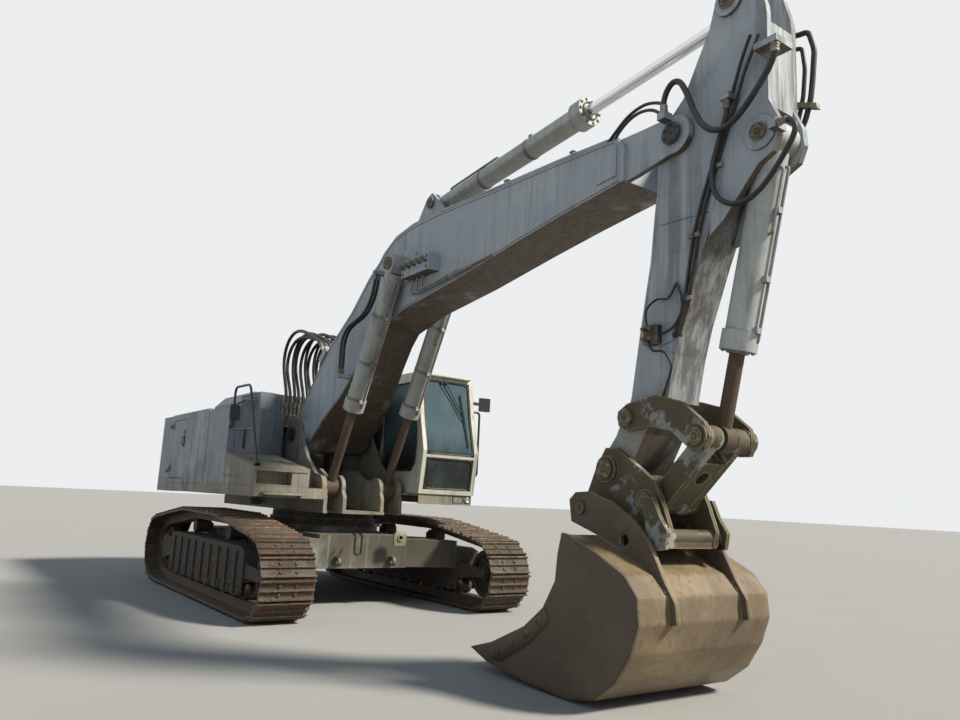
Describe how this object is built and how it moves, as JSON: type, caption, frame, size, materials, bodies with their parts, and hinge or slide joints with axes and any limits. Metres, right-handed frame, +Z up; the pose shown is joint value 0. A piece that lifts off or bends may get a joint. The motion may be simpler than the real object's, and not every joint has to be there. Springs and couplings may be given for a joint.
{
  "type": "crawler excavator",
  "caption": "Crawler excavator with a box boom, stick, quick coupler and wide smooth-lipped bucket, a side cab, and an upper structure that swings on a tracked undercarriage.",
  "frame": {"origin": "on the ground below the centre of the swing ring", "axes": "+X forward along the boom at rest, +Y to the cab side (the machine's left), +Z up"},
  "size_m": [11.22, 3.5482, 5.42],
  "materials": {
    "grey_paint": "weathered grey white paint, streaked with dirt and rust",
    "dark_paint": "dark paint under dried mud",
    "rusty_steel": "rusty steel caked with dry earth",
    "cast_wheels": "dark cast steel",
    "greasy_steel": "dark steel with grease and moss",
    "cast_engine": "plain block",
    "cab_panes": "bluish green safety glass",
    "seat_cloth": "dark woven seat cover",
    "black_plastic": "matt black plastic",
    "black_steel": "black painted tube",
    "bare_rod": "dull brown steel rod",
    "chrome_rod": "bright chromed rod",
    "bare_steel": "worn bare steel, brown and grey",
    "hose_rubber": "matt black hose rubber"
  },
  "bodies": {
    "undercarriage": {"centre_frame": "dark_paint", "track_frames": "dark_paint", "track_right": "rusty_steel", "track_left": "rusty_steel", "idlers": "cast_wheels", "sprockets": "cast_wheels", "track_rollers": "cast_wheels", "slew_ring": "greasy_steel"},
    "upper": {"upper_frame": "grey_paint", "counterweight": "grey_paint", "lifting_eyes": "grey_paint", "engine_block": "cast_engine", "right_housing": "grey_paint", "left_housing": "grey_paint", "fuel_tank": "grey_paint", "air_intake": "grey_paint", "step_box": "grey_paint", "valve_bank": "cast_wheels", "cab_shell": "grey_paint", "cab_glass": "cab_panes", "seat": "seat_cloth", "console": "black_plastic", "handrails": "black_steel", "mirrors": "black_plastic", "exhaust_pipe": "rusty_steel"},
    "hood": {"engine_hood": "grey_paint"},
    "right_door": {"right_door": "grey_paint"},
    "left_door": {"left_door": "grey_paint"},
    "cab_door": {"cab_door": "grey_paint", "door_glass": "cab_panes"},
    "boom": {"boom": "grey_paint", "boom_pipes": "grey_paint", "boom_hoses": "hose_rubber", "crowd_hoses": "hose_rubber", "work_lamp": "grey_paint"},
    "boom_barrels": {"boom_barrels": "grey_paint"},
    "boom_rods": {"boom_rods": "bare_rod"},
    "stick": {"stick": "grey_paint", "stick_hoses": "hose_rubber"},
    "stick_barrel": {"stick_barrel": "grey_paint"},
    "stick_rod": {"stick_rod": "chrome_rod"},
    "tool_barrel": {"tool_barrel": "grey_paint"},
    "tool_rod": {"tool_rod": "bare_rod"},
    "rocker": {"rocker_links": "greasy_steel"},
    "link": {"tool_link": "greasy_steel"},
    "bucket": {"coupler": "greasy_steel", "bucket": "bare_steel"}
  },
  "joints": [
    {"name": "swing", "type": "hinge", "parent": "undercarriage", "child": "upper", "pos_m": [0, 0, 1.13], "axis": [0, 0, 1], "continuous": true},
    {"name": "hood_lift", "type": "hinge", "parent": "upper", "child": "hood", "pos_m": [-2.655, 0, 2.484], "axis": [0, -1, 0], "range_deg": [0, 70]},
    {"name": "right_door_turn", "type": "hinge", "parent": "upper", "child": "right_door", "pos_m": [-2.547, -1.512, 1.87], "axis": [0, 0, -1], "range_deg": [0, 160]},
    {"name": "left_door_turn", "type": "hinge", "parent": "upper", "child": "left_door", "pos_m": [-2.547, 1.512, 1.87], "axis": [0, 0, 1], "range_deg": [0, 160]},
    {"name": "cab_door_turn", "type": "hinge", "parent": "upper", "child": "cab_door", "pos_m": [0.4825, 1.532, 2.17], "axis": [0, 0, 1], "range_deg": [0, 160]},
    {"name": "boom_lift", "type": "hinge", "parent": "upper", "child": "boom", "pos_m": [0.02, 0, 2.16], "axis": [0, -1, 0], "range_deg": [-44, 30], "deforming": ["boom_hoses"]},
    {"name": "boom_barrel_swing", "type": "hinge", "parent": "boom", "child": "boom_barrels", "pos_m": [2.39, 0, 4.1], "axis": [0, -1, 0], "range_deg": [-0.32, 0.46]},
    {"name": "boom_rod_slide", "type": "slide", "parent": "boom_barrels", "child": "boom_rods", "axis": [-0.4671, 0, -0.8842], "range_m": [-0.8699, 0.5933]},
    {"name": "stick_crowd", "type": "hinge", "parent": "boom", "child": "stick", "pos_m": [6.48, 0, 4.31], "axis": [0, 1, 0], "range_deg": [-84, 15], "deforming": ["crowd_hoses"]},
    {"name": "stick_barrel_swing", "type": "hinge", "parent": "boom", "child": "stick_barrel", "pos_m": [2.7, 0, 4.86], "axis": [0, -1, 0], "range_deg": [-0.667, 0.136]},
    {"name": "stick_rod_slide", "type": "slide", "parent": "stick_barrel", "child": "stick_rod", "axis": [0.9961, 0, 0.0886], "range_m": [-1.3789, 0.2466]},
    {"name": "bucket_curl", "type": "hinge", "parent": "stick", "child": "bucket", "pos_m": [5.87, 0, 1.68], "axis": [0, 1, 0], "range_deg": [-45, 100]},
    {"name": "rocker_turn", "type": "hinge", "parent": "stick", "child": "rocker", "pos_m": [6.06, 0, 2.08], "axis": [0, 1, 0], "range_deg": [-30.82, 68.46]},
    {"name": "link_turn", "type": "hinge", "parent": "rocker", "child": "link", "pos_m": [6.74, 0, 1.91], "axis": [0, 1, 0], "range_deg": [-36.37, 16.38]},
    {"name": "tool_barrel_swing", "type": "hinge", "parent": "stick", "child": "tool_barrel", "pos_m": [7.22, 0, 4.07], "axis": [0, 1, 0], "range_deg": [-2.72, 6.02]},
    {"name": "tool_rod_slide", "type": "slide", "parent": "tool_barrel", "child": "tool_rod", "axis": [-0.2169, 0, -0.9762], "range_m": [-0.3392, 0.7533]}
  ],
  "couplings": [
    {"joint": "boom_barrel_swing", "follows": "boom_lift", "ratio": -0.01},
    {"joint": "boom_rod_slide", "follows": "boom_lift", "m_per_rad": 1.1321},
    {"joint": "stick_barrel_swing", "follows": "stick_crowd", "ratio": 0.0077},
    {"joint": "stick_rod_slide", "follows": "stick_crowd", "m_per_rad": 0.9402},
    {"joint": "rocker_turn", "follows": "bucket_curl", "ratio": 0.6844},
    {"joint": "link_turn", "follows": "bucket_curl", "ratio": -0.3635},
    {"joint": "tool_barrel_swing", "follows": "bucket_curl", "ratio": 0.06},
    {"joint": "tool_rod_slide", "follows": "bucket_curl", "m_per_rad": 0.4313}
  ]
}
